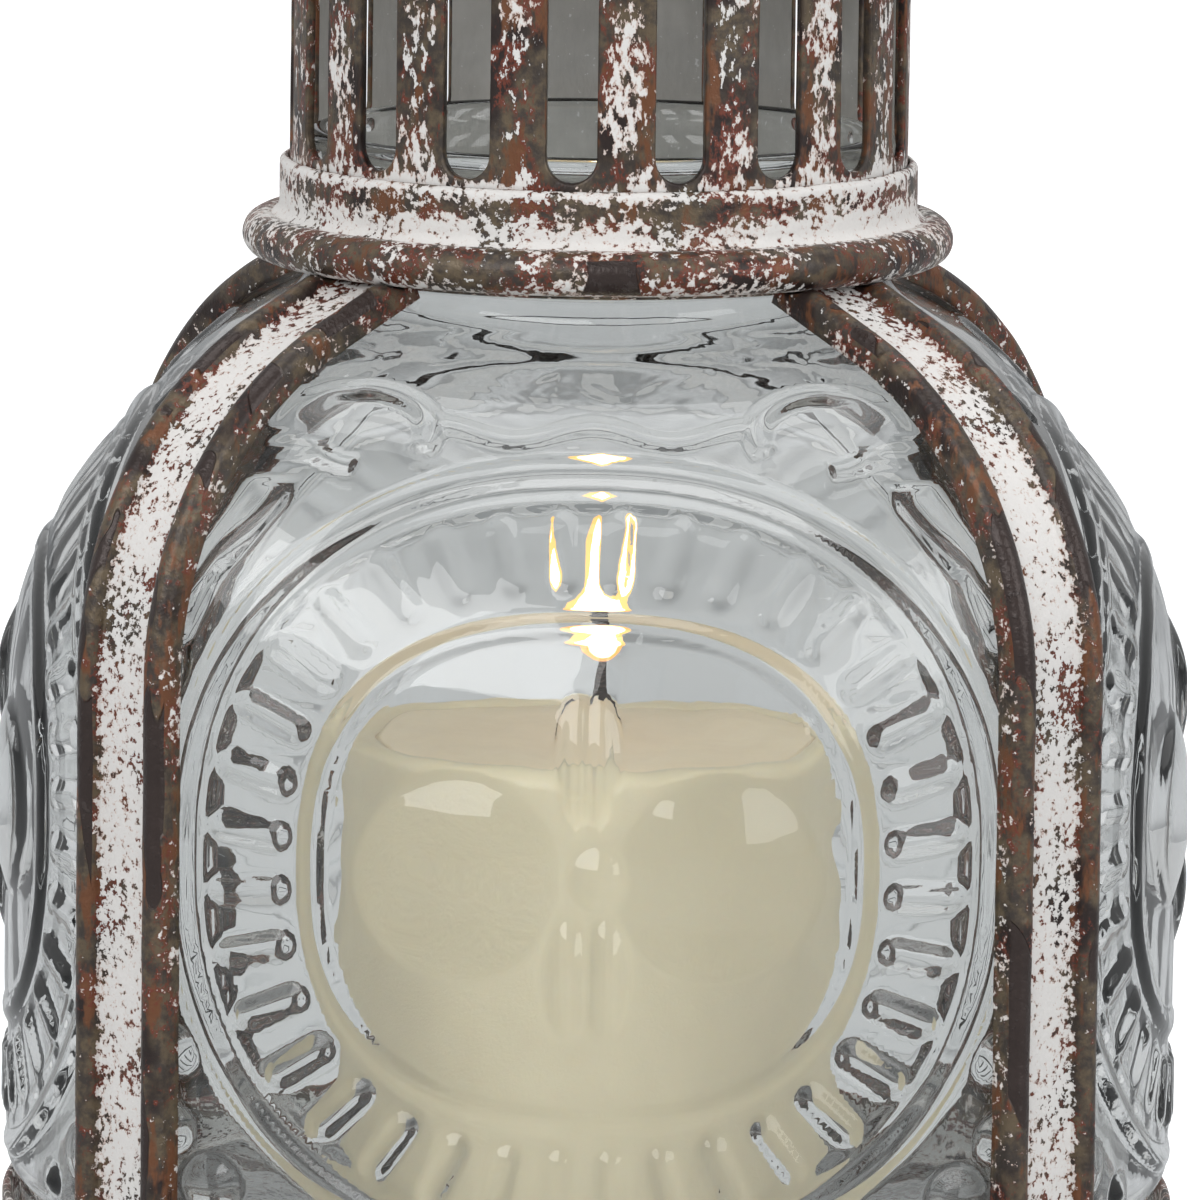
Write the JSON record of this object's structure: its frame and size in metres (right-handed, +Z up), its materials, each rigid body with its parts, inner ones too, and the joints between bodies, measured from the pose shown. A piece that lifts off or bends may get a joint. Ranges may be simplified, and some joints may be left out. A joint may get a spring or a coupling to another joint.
{
  "type": "mason jar lantern",
  "caption": "Square pressed-glass jar in a strap cage on a shallow pan, with a lift-off slotted vent lid, a domed cap, a carrying ring and a pillar candle inside.",
  "frame": {"origin": "on the table, under the centre of the base", "axes": "+Z up, -Y towards the front, +X to the right as seen from the front"},
  "size_m": [0.1772, 0.1772, 0.2594],
  "materials": {
    "clear_glass": "clear pressed glass with a faint grey-green edge",
    "white_paint": "chalky distressed white paint, worn to dark brown metal on the edges",
    "dark_iron": "dark brown iron with traces of white paint",
    "steel_wire": "plain drawn steel",
    "ivory_wax": "smooth ivory pillar candle wax",
    "molten_wax": "wet melted wax",
    "cotton_wick": "charred braided cotton",
    "tinplate": "thin pressed tinplate",
    "foot_rubber": "matt black rubber"
  },
  "bodies": {
    "base": {"glass_jar": "clear_glass", "base_pan": "white_paint", "base_rim_wire": "steel_wire", "cage_hoop": "dark_iron", "corner_strap_front_left": "white_paint", "corner_strap_front_right": "white_paint", "corner_strap_back_left": "white_paint", "corner_strap_back_right": "white_paint", "strap_rivets": "dark_iron", "foot_pad_front_left": "foot_rubber", "foot_pad_front_right": "foot_rubber", "foot_pad_back_left": "foot_rubber", "foot_pad_back_right": "foot_rubber"},
    "lid": {"lid_collar": "white_paint", "collar_rim_wire": "steel_wire", "vent_chimney": "white_paint", "cap_roof": "white_paint", "crown_washer": "dark_iron", "crown_nut": "steel_wire", "eye_bolt": "dark_iron"},
    "handle": {"carrying_ring": "dark_iron"},
    "candle": {"candle_body": "ivory_wax", "melted_wax": "molten_wax", "wick": "cotton_wick", "wick_sustainer": "tinplate"}
  },
  "joints": [
    {"name": "lid_lift", "type": "slide", "parent": "base", "child": "lid", "axis": [0, 0, 1], "range_m": [0, 0.12]},
    {"name": "ring_swing", "type": "hinge", "parent": "lid", "child": "handle", "pos_m": [0, 0, 0.2522], "axis": [1, 0, 0], "range_deg": [0, 237.8]},
    {"name": "candle_lift", "type": "slide", "parent": "base", "child": "candle", "axis": [0, 0, 1], "range_m": [0, 0.14]}
  ]
}
